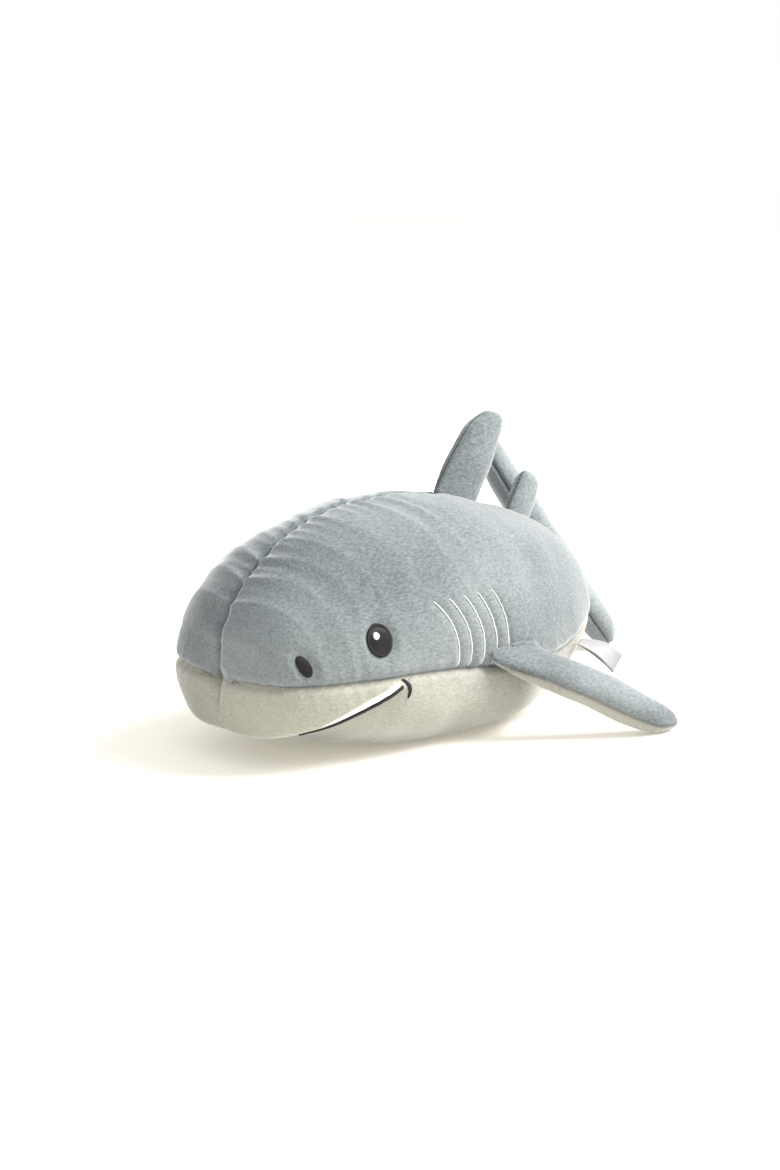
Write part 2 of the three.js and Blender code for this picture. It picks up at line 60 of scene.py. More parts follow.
# ---------------------------------------------------------------- sizes, from the frame
NOSE_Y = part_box("snout_panel_left")[0][1]
LENGTH = -NOSE_Y / 0.49           # the origin lies this share of the length behind the nose
HALF_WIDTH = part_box("back_panel_left")[1][0]
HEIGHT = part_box("back_panel_left")[1][2]
JOINTS = frame["record"]["behaviour"]["joints"]
HINGES = {joint["child"]: Vector(joint["pos_m"]) for joint in JOINTS}
AXES = {joint["child"]: Vector(joint["axis"]).normalized() for joint in JOINTS}

CURL_RADIUS = 375 * MM
FABRIC = 1.5 * MM

# Rows of: place along the body, half width, top, underside and seam height, as shares of the
# length, the half width and the height.
STATIONS = np.array([
    [0.000, 0.00, 0.36, 0.36, 0.36],
    [0.007, 0.38, 0.56, 0.20, 0.37],
    [0.033, 0.62, 0.68, 0.12, 0.375],
    [0.098, 0.81, 0.82, 0.095, 0.375],
    [0.196, 0.92, 0.94, 0.035, 0.37],
    [0.327, 0.98, 1.00, -0.02, 0.355],
    [0.490, 1.00, 0.98, -0.02, 0.315],
    [0.637, 0.94, 0.90, 0.03, 0.29],
    [0.752, 0.82, 0.81, 0.17, 0.33],
    [0.817, 0.68, 0.75, 0.24, 0.39],
    [0.863, 0.50, 0.70, 0.29, 0.42],
    [0.902, 0.35, 0.65, 0.33, 0.44],
    [0.954, 0.23, 0.60, 0.36, 0.45],
    [1.000, 0.00, 0.46, 0.46, 0.46],
])
TURNS = np.arccos(1 - 2 * STATIONS[:, 0])


def smooth_curve(values):
    """A smooth curve through the stations, read at a turn from 0 at the nose to pi at the tail's end."""
    before = np.maximum(np.arange(len(TURNS)) - 1, 0)
    after = np.minimum(np.arange(len(TURNS)) + 1, len(TURNS) - 1)
    slopes = (values[after] - values[before]) / (TURNS[after] - TURNS[before])

    def read(turn):
        turn = np.asarray(turn, float)
        i = np.clip(np.searchsorted(TURNS, turn, side="right") - 1, 0, len(TURNS) - 2)
        step = TURNS[i + 1] - TURNS[i]
        t = np.clip((turn - TURNS[i]) / step, 0, 1)
        level = values[i] * (1 + 2 * t) * (1 - t) ** 2 + values[i + 1] * t * t * (3 - 2 * t)
        bow = slopes[i] * t * (1 - t) ** 2 - slopes[i + 1] * t * t * (1 - t)
        return level + bow * step

    return read


half_width_at = smooth_curve(STATIONS[:, 1] * HALF_WIDTH)
top_at = smooth_curve(STATIONS[:, 2] * HEIGHT)
underside_at = smooth_curve(STATIONS[:, 3] * HEIGHT)
seam_at = smooth_curve(STATIONS[:, 4] * HEIGHT)


def turn_at(y):
    """The turn whose ring of the body stands at y."""
    return np.arccos(np.clip(1 - 2 * (np.asarray(y) - NOSE_Y) / LENGTH, -1, 1))


def y_at(share):
    return NOSE_Y + share * LENGTH


def smoothstep(low, high, x):
    t = np.clip((np.asarray(x, float) - low) / (high - low), 0, 1)
    return t * t * (3 - 2 * t)


def bell(distance, width):
    """1 on a line and fading to nothing a couple of widths away from it."""
    return np.exp(-(distance / width) ** 2)


def curl(points):
    """The rear half lies in a gentle curve to the shark's right."""
    points = np.array(points, float)
    angle = np.maximum(points[:, 1], 0) / CURL_RADIUS
    straight = np.minimum(points[:, 1], 0)
    x = CURL_RADIUS * (np.cos(angle) - 1) + points[:, 0] * np.cos(angle)
    y = straight + CURL_RADIUS * np.sin(angle) + points[:, 0] * np.sin(angle)
    return np.stack([x, y, points[:, 2]], 1)


def curl_angle(place):
    """How far the body has turned at a place on it, after it is curled."""
    return math.atan2(max(place[1], 0), CURL_RADIUS + place[0])


def wave(points, size, seed):
    """Smooth noise from -1 to 1 at each point, with features about size across."""
    offset = Vector((seed * 7.3, seed * 3.1, seed * 5.7))
    return np.array([noise.noise(Vector(p) / size + offset) for p in points]) * 1.6


# ---------------------------------------------------------------- meshes
SEAM_CROWDING = 0.72              # 0 spreads a skin's columns evenly, and near 1 crowds them at its seams
CLOTH_FRAMES = 20
CLOTH_PRESSURE = 4.0


def add_object(name, data):
    made = bpy.data.objects.new(name, data)
    bpy.context.scene.collection.objects.link(made)
    return made


def shade_smooth(mesh):
    mesh.polygons.foreach_set("use_smooth", [True] * len(mesh.polygons))


def make_object(name, points, faces):
    mesh = bpy.data.meshes.new(name)
    mesh.from_pydata([tuple(p) for p in points], [], [tuple(f) for f in faces])
    mesh.update()
    shade_smooth(mesh)
    return add_object(name, mesh)


def read_vectors(items, field):
    values = np.empty(len(items) * 3)
    items.foreach_get(field, values)
    return values.reshape(-1, 3)


def read_points(piece):
    return read_vectors(piece.data.vertices, "co")


def read_normals(piece):
    return read_vectors(piece.data.vertex_normals, "vector")


def face_centres(piece):
    return read_vectors(piece.data.polygons, "center")


def write_points(piece, points):
    piece.data.vertices.foreach_set("co", np.asarray(points, float).ravel())
    piece.data.update()


def ringed_faces(rings, around, reverse=False):
    """Faces of a closed skin: rings of points between two end points, which come last."""
    faces = []
    for i in range(rings - 1):
        for k in range(around):
            j = (k + 1) % around
            faces.append((i * around + k, i * around + j, (i + 1) * around + j, (i + 1) * around + k))
    first, last = rings * around, rings * around + 1
    for k in range(around):
        j = (k + 1) % around
        faces.append((first, j, k))
        faces.append((last, (rings - 1) * around + k, (rings - 1) * around + j))
    return [face[::-1] for face in faces] if reverse else faces


def crowded(count):
    """Angles once round, closer together at each quarter turn, where the seams lie."""
    even = np.arange(count) / count * 2 * math.pi
    return even - SEAM_CROWDING * np.sin(4 * even) / 4


def on_columns(rings, around, columns):
    """True at the points on the seams, which are columns of a closed skin."""
    held = np.zeros(rings * around + 2, bool)
    for column in columns:
        held[column:rings * around:around] = True
    return held


def finished(piece, modifier_names):
    """Applies the named modifiers and leaves plain mesh."""
    depsgraph = bpy.context.evaluated_depsgraph_get()
    mesh = bpy.data.meshes.new_from_object(piece.evaluated_get(depsgraph))
    for name in modifier_names:
        piece.modifiers.remove(piece.modifiers[name])
    piece.data = mesh
    shade_smooth(mesh)
    return piece


def subdivided(piece):
    modifier = piece.modifiers.new("Finer", "SUBSURF")
    modifier.levels = 1
    modifier.render_levels = 1
    return finished(piece, ["Finer"])


def thickened(piece, thickness=FABRIC, offset=-1):
    """Gives a skin a wall: inwards from it at an offset of -1, and half each way at 0."""
    modifier = piece.modifiers.new("Wall", "SOLIDIFY")
    modifier.thickness = thickness
    modifier.offset = offset
    return finished(piece, ["Wall"])


def stuffed(piece, held, swell):
    """Blows the skin out with cloth simulation, holding the points in held, and caps how far each may go."""
    rest = read_points(piece)
    group = piece.vertex_groups.new(name="seams")
    group.add([int(i) for i in np.flatnonzero(held)], 1.0, "REPLACE")
    cloth = piece.modifiers.new("Cloth", "CLOTH")
    settings = cloth.settings
    settings.quality = 5
    settings.mass = 0.25
    settings.tension_stiffness = 20
    settings.compression_stiffness = 12
    settings.shear_stiffness = 6
    settings.bending_stiffness = 0.6
    settings.vertex_group_mass = "seams"
    settings.use_pressure = True
    settings.uniform_pressure_force = CLOTH_PRESSURE
    settings.effector_weights.gravity = 0
    cloth.collision_settings.use_collision = False
    cloth.collision_settings.use_self_collision = False
    cloth.point_cache.frame_start = 1
    cloth.point_cache.frame_end = CLOTH_FRAMES
    for number in range(1, CLOTH_FRAMES + 1):
        bpy.context.scene.frame_set(number)
    finished(piece, ["Cloth"])
    bpy.context.scene.frame_set(1)
    piece.vertex_groups.clear()
    moved = read_points(piece) - rest
    far = np.linalg.norm(moved, axis=1, keepdims=True)
    write_points(piece, rest + moved * np.minimum(1, swell / np.maximum(far, 1e-9)))
    return piece


# ---------------------------------------------------------------- body
BODY_RINGS = 150
BODY_AROUND = 160
STEM_START = 0.876                # share of the length where the tail stem's own cover begins
STEM_TUCK = 0.99                  # the stem runs on to here, inside the fluke
STEM_BENT = 0.965                 # and has turned fully with the tail by here
STUFFING_INSET = 6.5 * MM
SEAM_SHADE_LINE = 0.8 * MM              # half the width of the painted shade line where two panels meet
LIP_HIGHLIGHT_WIDTH = 5.6 * MM              # the painted highlight, a paler strip above the mouth
UPPER_ROUNDNESS = 2.1
CHIN_ROUNDNESS = 2.4
BELLY_ROUNDNESS = 3.2
REAR_ROUNDNESS = 2.2
SEAM_DEPTH = 2.3 * MM
SEAM_WIDTH = 2.4 * MM
SHORT_FOLD = 9.5 * MM             # from one fold to the next, close to the seam over the head
LONG_FOLD = 19 * MM               # and for the longer ones that reach down its sides
FOLD_DEPTH = 2.2 * MM
JAW_STEP = 4.2 * MM               # how far the jaw is set back
LIP_SWELL = 1.3 * MM              # and how far the snout stands out above the mouth
BODY_SWELL = 2.2 * MM             # the most that stuffing moves the skin
STUFFING_RINGS = 46
STUFFING_AROUND = 48

MOUTH_FRONT = np.array([y_at(0.075), 0.166 * HEIGHT])
MOUTH_CORNER = np.array([y_at(0.229), 0.33 * HEIGHT])
MOUTH_SLOPE = (MOUTH_CORNER[1] - MOUTH_FRONT[1]) / (MOUTH_CORNER[0] - MOUTH_FRONT[0])
EYE = np.array([y_at(0.193), 0.53 * HEIGHT])
EYE_SIZE = np.array([7.3 * MM, 8.0 * MM])
NOSTRIL = np.array([y_at(0.059), 0.46 * HEIGHT])
NOSTRIL_SIZE = np.array([3.0 * MM, 6.2 * MM])
NOSTRIL_TILT = math.radians(18)
GILL_COUNT = 5
GILL_BOW = 5 * MM


def mouth_height(y):
    return MOUTH_FRONT[1] + MOUTH_SLOPE * (np.asarray(y) - MOUTH_FRONT[0])


def seam_height(y):
    return seam_at(turn_at(y))


def body_points(turn, around):
    """Points of the straight body: turn runs along it and around goes once about it from the left seam."""
    sine = np.sin(around)
    lower = CHIN_ROUNDNESS + (BELLY_ROUNDNESS - CHIN_ROUNDNESS) * smoothstep(0.7, 1.6, turn)
    lower = lower + (REAR_ROUNDNESS - lower) * smoothstep(1.6, 2.1, turn)
    power = 2 / np.where(sine >= 0, UPPER_ROUNDNESS, lower)
    end = np.where(sine >= 0, top_at(turn), underside_at(turn))
    x = half_width_at(turn) * np.sign(np.cos(around)) * np.abs(np.cos(around)) ** power
    z = seam_at(turn) + np.abs(end - seam_at(turn)) * np.sign(sine) * np.abs(sine) ** power
    y = NOSE_Y + LENGTH * (1 - np.cos(turn)) / 2
    return np.stack([x, np.broadcast_to(y, x.shape), z], -1)


def body_form():
    """The smooth body before it is stuffed. Even turns set its rings closer together at the nose."""
    turns = np.linspace(0.08, math.acos(1 - 2 * STEM_TUCK), BODY_RINGS)
    rings = body_points(turns[:, None], crowded(BODY_AROUND)[None, :]).reshape(-1, 3)
    nose = [0, NOSE_Y, float(seam_at(0.0))]
    tail = rings[-BODY_AROUND:].mean(0)
    points = np.vstack([rings, [nose, tail]])
    points[:, 2] = np.maximum(points[:, 2], 0)
    return make_object("body_form", points, ringed_faces(BODY_RINGS, BODY_AROUND, reverse=True))


def back_run(points):
    """Distance along the seam over the back, from the nose, for points at each y."""
    turns = np.linspace(0, math.pi, 400)
    y = NOSE_Y + LENGTH * (1 - np.cos(turns)) / 2
    z = top_at(turns)
    run = np.concatenate([[0], np.cumsum(np.hypot(np.diff(y), np.diff(z)))])
    return np.interp(points[:, 1], y, run)


def ridged(position, size, seed):
    """A row of soft folds along a seam: narrow valleys between rounded ridges."""
    wobble = np.array([noise.noise(Vector((p / (3.1 * size), seed, 0))) for p in position])
    phase = position / size + 1.1 * wobble
    strength = np.array([0.65 + 0.7 * noise.noise(Vector((p / (2.2 * size), seed + 9, 4))) for p in position])
    return -np.abs(np.sin(math.pi * phase)) ** 0.8 * strength + 0.4


def head_share(run):
    """1 over the head, falling away at the nose and behind it."""
    return smoothstep(0.0, 0.03, run) * smoothstep(0.26, 0.12, run)


def head_folds(points, run):
    """Folds that fan out from the seam over the head and fade down its sides: about 0.4 up, 0.6 down."""
    side = np.abs(points[:, 0])
    slanted = run - 0.28 * side
    short = ridged(slanted, SHORT_FOLD, 1) * np.exp(-side / (15 * MM))
    long = ridged(slanted - 0.15 * side, LONG_FOLD, 2) * np.exp(-side / (46 * MM))
    return 0.85 * short + long + 0.4


def under_nose(y, z):
    """1 just under the nose, where the seam over the back runs on for a short way."""
    return smoothstep(y_at(0.14), y_at(0.1), y) * smoothstep(-24 * MM, -6 * MM, z - seam_height(y))


def bowed_line(start, end, bow, steps):
    """Points from start to end, standing off the straight line by bow at their middle."""
    run = end - start
    side = np.array([-run[1], run[0]]) / np.linalg.norm(run)
    t = np.linspace(0, 1, steps)[:, None]
    return start + run * t + side * bow * 4 * t * (1 - t)


def gill_line(row, steps):
    """The (y, z) points of one gill line, bowed toward the tail."""
    top = np.array([y_at(0.324 + 0.036 * row), 0.64 * HEIGHT])
    foot_y = y_at(0.363 + 0.0285 * row)
    foot = np.array([foot_y, seam_height(foot_y) + 0.8 * MM])
    return bowed_line(top, foot, GILL_BOW, steps)


def distance_to_line(yz, line):
    """Shortest distance from each (y, z) to a line of points, joined up."""
    nearest = np.full(len(yz), 1.0)
    for a, b in zip(line[:-1], line[1:]):
        run = b - a
        t = np.clip(((yz - a) @ run) / (run @ run), 0, 1)
        nearest = np.minimum(nearest, np.linalg.norm(yz - a - t[:, None] * run, axis=1))
    return nearest


def oval_distance(yz, centre, size, tilt=0.0):
    """0 at the middle of an oval and 1 on its edge."""
    turned = Matrix.Rotation(-tilt, 2)
    local = (yz - centre) @ np.array(turned).T
    return np.linalg.norm(local / size, axis=1)


def body_relief(points):
    """How far the stuffed skin stands in or out of its smooth form at each point of the straight body."""
    x, y, z = points.T
    side = np.abs(x)
    seam = seam_height(y)
    upper = smoothstep(-1 * MM, 1 * MM, z - seam)
    flank = smoothstep(0.25, 0.5, side / HALF_WIDTH)
    run = back_run(points)
    relief = np.zeros(len(points))

    # Seams pull the skin in: over the back, along the sides and under the nose.
    relief -= SEAM_DEPTH * bell(side, SEAM_WIDTH) * upper * smoothstep(0.02, 0.06, run + 0.03)
    relief -= 1.3 * SEAM_DEPTH * bell(z - seam, SEAM_WIDTH)
    relief -= 0.8 * SEAM_DEPTH * bell(side, SEAM_WIDTH) * under_nose(y, z) * (1 - upper)

    relief += FOLD_DEPTH * (head_folds(points, run) - 0.4) * head_share(run) * upper
    back = smoothstep(0.12, 0.26, run)
    relief += 0.5 * MM * ridged(run + 0.2 * side, 13 * MM, 3) * np.exp(-side / (12 * MM)) * back * upper

    # Small puckers along the side seams.
    near_seam = np.exp(-np.abs(z - seam) / (9 * MM))
    relief += 0.8 * MM * ridged(y + side + 0.3 * (z - seam), 11 * MM, 4) * near_seam

    # The jaw is set back a little under the mouth line.
    mouth = mouth_height(y)
    below = (mouth - z) / math.hypot(1, MOUTH_SLOPE)
    mouth_here = smoothstep(MOUTH_CORNER[0] + 6 * MM, MOUTH_CORNER[0] - 8 * MM, y) * (1 - upper)
    jaw = smoothstep(0.8 * MM, 3.2 * MM, below) * np.exp(-np.maximum(below, 0) / (17 * MM))
    relief -= JAW_STEP * jaw * mouth_here
    relief += LIP_SWELL * bell(below + 5 * MM, 5 * MM) * mouth_here

    # Embroidery draws the skin in.
    yz = np.stack([y, z], 1)
    eye = oval_distance(yz, EYE, EYE_SIZE)
    relief -= 1.5 * MM * smoothstep(1.7, 0.95, eye) * flank
    nostril = oval_distance(yz, NOSTRIL, NOSTRIL_SIZE, NOSTRIL_TILT)
    relief -= 1.3 * MM * smoothstep(2.2, 0.9, nostril) * flank
    for row in range(GILL_COUNT):
        relief -= 1.1 * MM * bell(distance_to_line(yz, gill_line(row, 9)), 1.5 * MM) * flank

    # Loose fibre never fills a skin quite evenly.
    relief += 1.5 * MM * wave(points, 62 * MM, 5)
    relief += 0.8 * MM * wave(points, 25 * MM, 6)
    return relief


def sewn_body():
    """The whole stuffed body as one skin, straight, before it is parted into its panels."""
    piece = body_form()
    seams = on_columns(BODY_RINGS, BODY_AROUND, (0, BODY_AROUND // 4, BODY_AROUND // 2))
    stuffed(piece, seams, BODY_SWELL)
    subdivided(piece)
    points = read_points(piece)
    normals = read_normals(piece)
    flat = smoothstep(3 * MM, 9 * MM, points[:, 2])
    points = points + normals * (body_relief(points) * (0.25 + 0.75 * flat))[:, None]
    points[:, 2] = np.maximum(points[:, 2], 0.2 * MM)
    write_points(piece, points)
    return piece


def part_of(source, name, keep):
    """A new piece made of the source's faces for which keep is true."""
    mesh = source.data
    used = {}
    points = read_points(source)
    faces = []
    for polygon in mesh.polygons:
        if keep[polygon.index]:
            faces.append([used.setdefault(v, len(used)) for v in polygon.vertices])
    return make_object(name, points[list(used)], faces)


# ---------------------------------------------------------------- shader helpers
class Value:
    """A number in a material's node tree, with the sums and products that are used on it."""

    def __init__(self, maker, socket):
        self.maker = maker
        self.socket = socket

    def _math(self, operation, first, second):
        return self.maker.value("ShaderNodeMath", {"operation": operation}, {0: first, 1: second})

    def __add__(self, other):
        return self._math("ADD", self, other)

    def __mul__(self, other):
        return self._math("MULTIPLY", self, other)

    __radd__ = __add__
    __rmul__ = __mul__


class Finish:
    """A material and its nodes."""

    def __init__(self, name):
        self.material = bpy.data.materials.new(name)
        self.material.use_nodes = True
        self.nodes = self.material.node_tree.nodes
        self.links = self.material.node_tree.links
        self.shader = self.nodes["Principled BSDF"]

    def node(self, kind, settings, sockets):
        made = self.nodes.new(kind)
        for key, setting in settings.items():
            setattr(made, key, setting)
        for key, given in sockets.items():
            self.feed(made.inputs[key], given)
        return made

    def feed(self, socket, given):
        if isinstance(given, Value):
            given = given.socket
        if isinstance(given, bpy.types.NodeSocket):
            self.links.new(given, socket)
        else:
            socket.default_value = given

    def value(self, kind, settings, sockets, output=0):
        return Value(self, self.node(kind, settings, sockets).outputs[output])

    def place(self, scale):
        """Object coordinates stretched by a scale on each axis."""
        spot = self.node("ShaderNodeTexCoord", {}, {})
        mapping = self.node("ShaderNodeMapping", {}, {"Vector": spot.outputs["Object"], "Scale": scale})
        return mapping.outputs["Vector"]

    def speckle(self, scale, stretch=(1, 1, 1), detail=2.0, rough=0.5):
        sockets = {"Vector": self.place(stretch), "Scale": scale, "Detail": detail, "Roughness": rough}
        return self.value("ShaderNodeTexNoise", {}, sockets, "Fac")

    def mix(self, share, first, second):
        # The colour inputs and output of a Mix node share their names with its number and vector ones.
        return self.node("ShaderNodeMix", {"data_type": "RGBA"}, {0: share, 6: first, 7: second}).outputs[2]

    def marked(self, name):
        """A number that is stored at the points of the piece."""
        return self.value("ShaderNodeAttribute", {"attribute_name": name}, {}, "Fac")

    def ramp(self, fac, low, high):
        """0 below low and 1 above high."""
        sockets = {"Value": fac, "From Min": low, "From Max": high, "To Min": 0.0, "To Max": 1.0}
        return self.value("ShaderNodeMapRange", {"interpolation_type": "SMOOTHSTEP"}, sockets, "Result")

    def bump(self, height, strength, distance, under=None):
        sockets = {"Height": height, "Strength": strength, "Distance": distance}
        if under is not None:
            sockets["Normal"] = under
        return self.node("ShaderNodeBump", {}, sockets).outputs["Normal"]

    def set(self, **sockets):
        for key, given in sockets.items():
            self.feed(self.shader.inputs[key.replace("_", " ")], given)
        return self.material


PATCHES_PER_METRE = 14
CLUMPS_PER_METRE = 230
FIBRES_PER_METRE = 900
# A painted highlight on the strip above the mouth, where the snout bulges out over the mouth line.
LIP_HIGHLIGHT = (0.93, 0.93, 0.92, 1)


def darker(colour, share):
    return tuple(share * c for c in colour[:3]) + (1.0,)


def plush(name, deep, pale, lip_highlight=None):
    """Short velvety pile: brushed patches, clumped fibres and a soft sheen, with painted shade in the fold
    valleys and along the seams, and a painted highlight above the mouth where one is given.
    """
    finish = Finish(name)
    patches = finish.ramp(finish.speckle(PATCHES_PER_METRE, (1.0, 0.6, 1.0), 1.0), 0.25, 0.75)
    clumps = finish.speckle(CLUMPS_PER_METRE, (1.0, 0.5, 1.0), 1.0)
    fibre = finish.speckle(FIBRES_PER_METRE, (1.0, 0.4, 1.0), 2.0)
    tone = finish.ramp(patches * 0.26 + clumps * 0.08 + fibre * 0.66, 0.14, 0.86)
    colour = finish.mix(tone, deep, pale)
    # Painted shade in the valleys of the folds over the head, where the pile also lies closed.
    colour = finish.mix(finish.marked("fold") * 0.5, colour, deep)
    # Painted shade along the seams, where the pile dips into them; on the fins it also stands for the dark
    # stitching.
    colour = finish.mix(finish.marked("seam") * 0.8, colour, darker(deep, 0.35))
    # A painted highlight on the strip just above the mouth.
    if lip_highlight is not None:
        colour = finish.mix(finish.marked("lip_highlight"), colour, lip_highlight)
    relief = clumps * 0.2 + fibre * 0.8
    finish.set(
        Base_Color=colour,
        Roughness=0.95,
        Normal=finish.bump(relief, 0.65, 0.6 * MM),
        Sheen_Weight=0.7,
        Sheen_Roughness=0.4,
        Sheen_Tint=(0.95, 0.96, 1.0, 1.0),
        Specular_IOR_Level=0.1,
    )
    return finish.material


def thread(name, colour, gloss):
    finish = Finish(name)
    strands = finish.speckle(1500, (1.0, 0.3, 0.3), 1.0)
    finish.set(
        Base_Color=finish.mix(strands, darker(colour, 0.6), colour),
        Roughness=gloss,
        Normal=finish.bump(strands, 0.4, 0.2 * MM),
        Sheen_Weight=0.05,
        Specular_IOR_Level=0.3,
    )
    return finish.material


def loose_fibre():
    finish = Finish("polyester_fibre")
    tangle = finish.speckle(420, (1, 1, 1), 4.0)
    finish.set(
        Base_Color=finish.mix(tangle, (0.72, 0.71, 0.69, 1), (0.93, 0.92, 0.90, 1)),
        Roughness=0.9,
        Normal=finish.bump(tangle, 0.8, 0.8 * MM),
    )
    return finish.material


def satin_weave():
    finish = Finish("satin_ribbon")
    bands = {"Scale": 500.0, "Distortion": 1.0}
    across = finish.value("ShaderNodeTexWave", {"bands_direction": "X"}, bands, "Fac")
    finish.set(
        Base_Color=finish.mix(across, (0.265, 0.262, 0.272, 1), (0.335, 0.332, 0.342, 1)),
        Roughness=0.45,
        Normal=finish.bump(across, 0.2, 0.1 * MM),
        Sheen_Weight=0.1,
        Specular_IOR_Level=0.3,
    )
    return finish.material


GREY_DEEP = (0.078, 0.094, 0.101, 1)
GREY_PALE = (0.225, 0.251, 0.260, 1)
SNOUT_DEEP = (0.225, 0.221, 0.190, 1)
SNOUT_PALE = (0.365, 0.361, 0.308, 1)
GREY = plush("grey_plush", GREY_DEEP, GREY_PALE)
CREAM = plush("cream_plush", (0.215, 0.213, 0.191, 1), (0.345, 0.342, 0.308, 1))
SNOUT_CREAM = plush("snout_plush", SNOUT_DEEP, SNOUT_PALE, lip_highlight=LIP_HIGHLIGHT)
BLACK_THREAD = thread("black_thread", (0.010, 0.009, 0.010, 1), 0.45)
WHITE_THREAD = thread("white_thread", (0.86, 0.87, 0.86, 1), 0.5)
FIBRE = loose_fibre()
SATIN = satin_weave()


def dressed(piece, material, node, body):
    """Gives a piece its material and hides the node that it replaces; a piece given a body's name is hung
    from that body, and one given a bend stays where it is.
    """
    piece.data.materials.clear()
    piece.data.materials.append(material)
    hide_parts(node)
    if isinstance(body, str):
        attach(piece, body)
    else:
        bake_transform(piece)
    return piece


# ---------------------------------------------------------------- body covers
def curled(piece):
    write_points(piece, curl(read_points(piece)))
    return piece


def mark(piece, name, values):
    """Stores a number at every point of a piece, for its finish to read."""
    marks = piece.data.attributes.new(name, "FLOAT", "POINT")
    marks.data.foreach_set("value", np.asarray(values, float))


def mark_body_seam_shade(piece):
    x, y, z = read_points(piece).T
    seam = seam_height(y)
    upper = smoothstep(-1 * MM, 1 * MM, z - seam)
    down_the_middle = bell(x, SEAM_SHADE_LINE) * np.maximum(upper, under_nose(y, z))
    # The body's seams get painted shade, half as strong as on the fins.
    mark(piece, "seam", 0.5 * np.maximum(down_the_middle, bell(z - seam, SEAM_SHADE_LINE)))


def mark_fold_shade(piece):
    """Marks the valleys of the folds over the head for painted shade; the pile also lies closed there and
    looks darker.
    """
    points = read_points(piece)
    run = back_run(points)
    valley = np.clip(0.55 - 1.4 * head_folds(points, run), 0, 1)
    mark(piece, "fold", valley * head_share(run))


def mark_lip_highlight(piece):
    """Marks a painted highlight: a paler strip along the snout's edge, just above the mouth line, where the
    snout bulges out over it.
    """
    y, z = read_points(piece).T[1:]
    above = (z - mouth_height(y)) / math.hypot(1, MOUTH_SLOPE)
    along = (y - MOUTH_FRONT[0]) / (MOUTH_CORNER[0] - MOUTH_FRONT[0])
    reach = LIP_HIGHLIGHT_WIDTH * np.sqrt(np.clip(1 - (2 * along - 1.2) ** 2 / 1.2, 0.01, 1))
    strip = smoothstep(reach, 0.55 * reach, above)
    mark(piece, "lip_highlight", strip * smoothstep(0.0, 0.25, along) * smoothstep(1.0, 0.85, along))


def body_covers(whole):
    centres = face_centres(whole)
    x, y, z = centres.T
    stem = y > y_at(STEM_START)
    upper = z > seam_height(y)
    mouth = (z > mouth_height(y)) & ~upper
    left = x > 0
    parts = {
        "back_cover_left": (upper & left & ~stem, GREY, "back_panel_left"),
        "back_cover_right": (upper & ~left & ~stem, GREY, "back_panel_right"),
        "snout_cover_left": (mouth & left & ~stem, SNOUT_CREAM, "snout_panel_left"),
        "snout_cover_right": (mouth & ~left & ~stem, SNOUT_CREAM, "snout_panel_right"),
        "belly_cover": (~upper & ~mouth & ~stem, CREAM, "belly_panel"),
    }
    for name, (keep, material, node) in parts.items():
        piece = part_of(whole, name, keep)
        mark_body_seam_shade(piece)
        if material is GREY:
            mark_fold_shade(piece)
        if material is SNOUT_CREAM:
            mark_lip_highlight(piece)
        dressed(thickened(curled(piece)), material, node, "body")
    for side, keep in (("left", stem & left), ("right", stem & ~left)):
        piece = part_of(whole, "stem_cover_" + side, keep)
        mark_body_seam_shade(piece)
        dressed(thickened(curled(piece)), GREY, "tail_panel_" + side, stem_bend())


def stem_bend():
    """The stretch of the stem at the tail hinge, as two body names and its end points."""
    start = curl([[0, y_at(STEM_START), HINGES["tail"].z]])[0]
    end = curl([[0, y_at(STEM_BENT), HINGES["tail"].z]])[0]
    return "body", "tail", start, end


def body_stuffing():
    """The fibre inside, a little smaller than the skin all round."""
    around = crowded(STUFFING_AROUND)[None, :]
    faces = ringed_faces(STUFFING_RINGS, STUFFING_AROUND, reverse=True)
    for name, first, last, body, node in (
        ("body_stuffing", 0.0, STEM_START - 0.03, "body", "body_fill"),
        ("stem_stuffing", STEM_START, STEM_BENT, stem_bend(), "tail_fill"),
    ):
        first_turn = max(0.12, math.acos(1 - 2 * first))
        turns = np.linspace(first_turn, math.acos(1 - 2 * last), STUFFING_RINGS)
        rings = body_points(turns[:, None], around).reshape(-1, 3)
        ends = [rings[:STUFFING_AROUND].mean(0), rings[-STUFFING_AROUND:].mean(0)]
        piece = make_object(name, np.vstack([rings, ends]), faces)
        points = read_points(piece) - read_normals(piece) * STUFFING_INSET
        points += read_normals(piece) * (0.9 * MM * wave(points, 17 * MM, 8))[:, None]
        points[:, 2] = np.maximum(points[:, 2], STUFFING_INSET)
        write_points(piece, curl(points))
        dressed(piece, FIBRE, node, body)


# ---------------------------------------------------------------- fins
FIN_RINGS = 46
FIN_AROUND = 48
HINGE_GAP = 1.2 * MM
FIN_TUCK = 6.5 * MM               # how far a fin's cover runs down into the body's skin
FIN_BEND = 15 * MM                # how far out from the skin a fin bends
FIN_ROUNDNESS = 2.4
FIN_SWELL = 1.2 * MM
FIN_STUFFING_RINGS = 20
FIN_STUFFING_AROUND = 24
FIN_STUFFING_SLIM = 0.62          # its thickness beside the fin's own
TIP_BLUNTNESS = 0.55              # 1 is an oval tip, and less is squarer
SIDE_FIN_BOW = 2.5 * MM           # how far a side fin arches up at the middle of its span
SIDE_FIN_RIM = -2.2 * MM          # its rim seam lies this far above its middle

